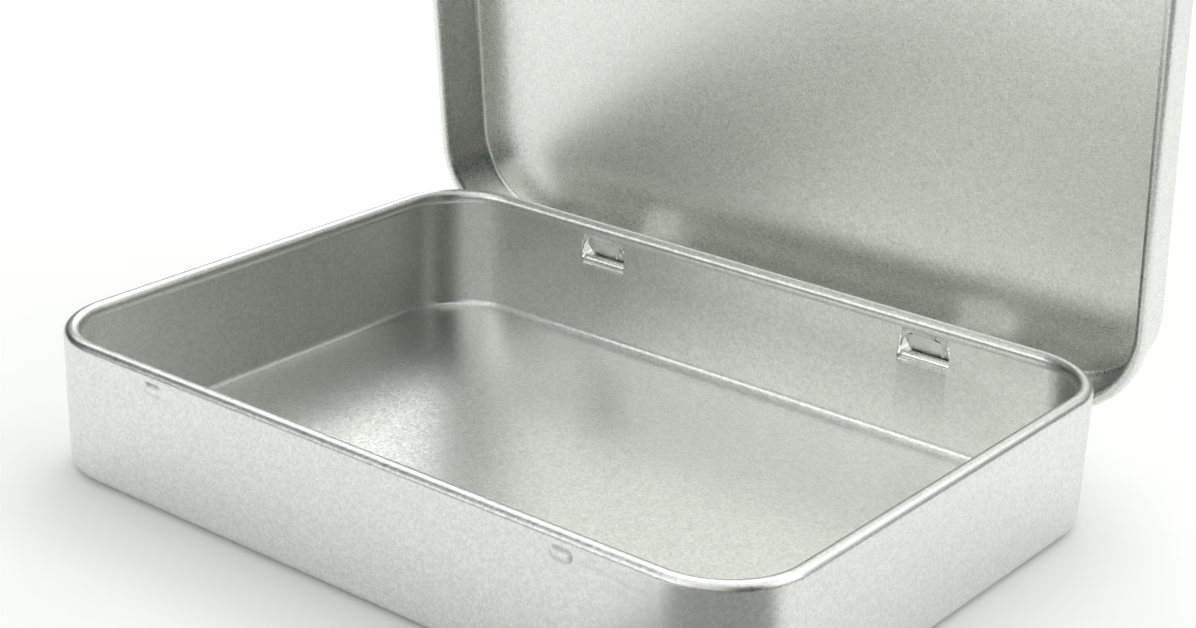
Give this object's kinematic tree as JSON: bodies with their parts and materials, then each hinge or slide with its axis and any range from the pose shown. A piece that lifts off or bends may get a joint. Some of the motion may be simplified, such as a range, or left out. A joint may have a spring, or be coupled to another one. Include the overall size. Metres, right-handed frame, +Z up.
{
  "type": "mint tin",
  "caption": "Shallow hinged pocket tin of plain drawn tinplate with rounded corners, a rolled rim, a rolled lid hem, hooked sheet hinges and a snap latch.",
  "frame": {"origin": "centre of the flat underside of the tray", "axes": "+X along the tray's long side, +Y towards the hinges, +Z up; the lid stands open"},
  "size_m": [0.119, 0.0927, 0.0993],
  "materials": {
    "tray_tinplate": "satin tinplate with a fine grain",
    "lid_tinplate": "satin tinplate with a fine grain"
  },
  "bodies": {
    "base": {"base_tray": "tray_tinplate"},
    "lid": {"lid": "lid_tinplate"}
  },
  "joints": [
    {"name": "lid_hinge", "type": "hinge", "parent": "base", "child": "lid", "pos_m": [0, 0.04315, 0.01235], "axis": [-1, 0, 0], "range_deg": [-84, 26]}
  ]
}
